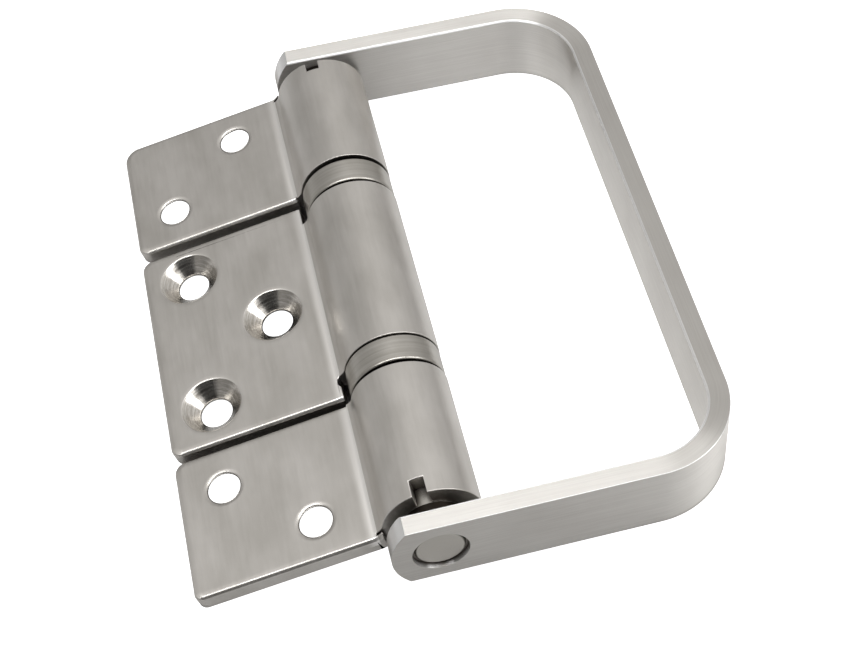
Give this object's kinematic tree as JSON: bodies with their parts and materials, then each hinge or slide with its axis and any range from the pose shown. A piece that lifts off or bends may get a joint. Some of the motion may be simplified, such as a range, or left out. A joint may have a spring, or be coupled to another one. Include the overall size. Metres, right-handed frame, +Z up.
{
  "type": "bifold door hinge",
  "caption": "Bifold door hinge: a centre leaf between shorter outer leaves, all rolled onto a shared pin with bearing rings, and a D-shaped pull handle that swings on the same pin.",
  "frame": {"origin": "on the surface that the hinge lies on, under the middle of its outline seen from above; the barrel's axis is parallel to Y, 8 mm up, at x = -5.42 mm", "axes": "+X from the leaves to the handle's grip, +Y along the barrel towards the upper leaf, +Z up from the surface"},
  "size_m": [0.0874, 0.1074, 0.016],
  "materials": {
    "leaf_steel": "satin stainless, tumbled and lightly brushed",
    "handle_steel": "satin stainless, brushed along the bar",
    "pin_steel": "turned stainless",
    "ring_steel": "turned and polished stainless",
    "bush_steel": "turned stainless"
  },
  "bodies": {
    "middle": {"centre_leaf": "leaf_steel", "centre_bush_upper": "bush_steel", "centre_bush_lower": "bush_steel", "bearing_ring_upper": "ring_steel", "bearing_ring_lower": "ring_steel"},
    "upper": {"upper_leaf": "leaf_steel", "upper_bush_inner": "bush_steel", "upper_bush_outer": "bush_steel"},
    "lower": {"lower_leaf": "leaf_steel", "lower_bush_inner": "bush_steel", "lower_bush_outer": "bush_steel"},
    "pull": {"handle": "handle_steel", "hinge_pin": "pin_steel"}
  },
  "joints": [
    {"name": "upper_leaf_swing", "type": "hinge", "parent": "middle", "child": "upper", "pos_m": [-0.00542, 0, 0.008], "axis": [0, 1, 0], "range_deg": [0, 180]},
    {"name": "lower_leaf_swing", "type": "hinge", "parent": "middle", "child": "lower", "pos_m": [-0.00542, 0, 0.008], "axis": [0, 1, 0], "range_deg": [0, 180]},
    {"name": "handle_swing", "type": "hinge", "parent": "middle", "child": "pull", "pos_m": [-0.00542, 0, 0.008], "axis": [0, 1, 0], "range_deg": [-101.17, 78.83]}
  ]
}
